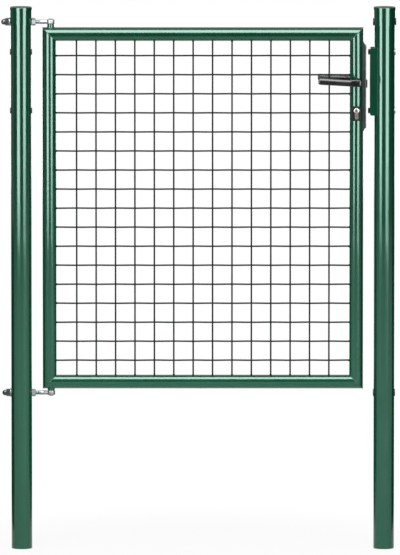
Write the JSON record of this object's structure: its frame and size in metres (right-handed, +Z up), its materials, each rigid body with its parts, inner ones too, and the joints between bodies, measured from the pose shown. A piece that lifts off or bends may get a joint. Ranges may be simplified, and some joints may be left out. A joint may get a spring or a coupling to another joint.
{
  "type": "garden gate",
  "caption": "Garden gate with a round tube leaf filled with crimped wave mesh, hung on eye bolts between capped round posts, with lever handles, a lock and a strike.",
  "frame": {"origin": "centre of the hinge post's foot, on the post's axis", "axes": "+X from the hinge post to the latch post in the plane of the gate, +Y to the back, +Z up"},
  "size_m": [1.0867, 0.163, 1.5],
  "materials": {
    "green_coating": "glossy moss green powder coat",
    "wire_coating": "dark green coated wire",
    "zinc_steel": "bright zinc plate",
    "black_plastic": "satin black",
    "black_steel": "blackened steel",
    "nickel_brass": "nickel-plated, satin"
  },
  "bodies": {
    "posts": {"post_hinge": "green_coating", "post_latch": "green_coating", "cap_hinge": "green_coating", "cap_latch": "green_coating", "plugs_hinge_post": "black_plastic", "plugs_latch_post": "black_plastic", "eye_bolt_top": "zinc_steel", "eye_bolt_bottom": "zinc_steel", "cap_nut_top": "zinc_steel", "cap_nut_bottom": "zinc_steel", "washer_top": "zinc_steel", "washer_bottom": "zinc_steel", "hinge_nut_top": "zinc_steel", "hinge_nut_bottom": "zinc_steel", "strike_channel": "green_coating", "strike_bolt_top": "zinc_steel", "strike_bolt_bottom": "zinc_steel", "strike_nut_top": "black_steel", "strike_nut_bottom": "black_steel"},
    "leaf": {"stile_hinge": "green_coating", "stile_lock": "green_coating", "rail_top": "green_coating", "rail_bottom": "green_coating", "wire_mesh": "wire_coating", "hinge_pin_top": "green_coating", "hinge_pin_bottom": "green_coating", "lock_case": "zinc_steel", "face_plate": "zinc_steel", "dead_bolt": "zinc_steel", "lock_cylinder": "nickel_brass", "escutcheon_front": "black_plastic", "escutcheon_back": "black_plastic", "rose_front": "black_plastic", "rose_back": "black_plastic"},
    "handle": {"lever_front": "black_plastic", "lever_back": "black_plastic", "spindle": "zinc_steel"},
    "latch": {"latch_bolt": "zinc_steel"}
  },
  "joints": [
    {"name": "gate_swing", "type": "hinge", "parent": "posts", "child": "leaf", "pos_m": [0.0815, 0, 0.94], "axis": [0, 0, 1], "range_deg": [-90, 90]},
    {"name": "handle_turn", "type": "hinge", "parent": "leaf", "child": "handle", "pos_m": [0.923, 0, 1.295], "axis": [0, -1, 0], "range_deg": [0, 40], "stiffness_Nm_per_rad": 0.5, "springref_deg": -45.84},
    {"name": "latch_slide", "type": "slide", "parent": "leaf", "child": "latch", "axis": [-1, 0, 0], "range_m": [0, 0.0035]}
  ],
  "couplings": [
    {"joint": "latch_slide", "follows": "handle_turn", "m_per_rad": 0.005}
  ]
}
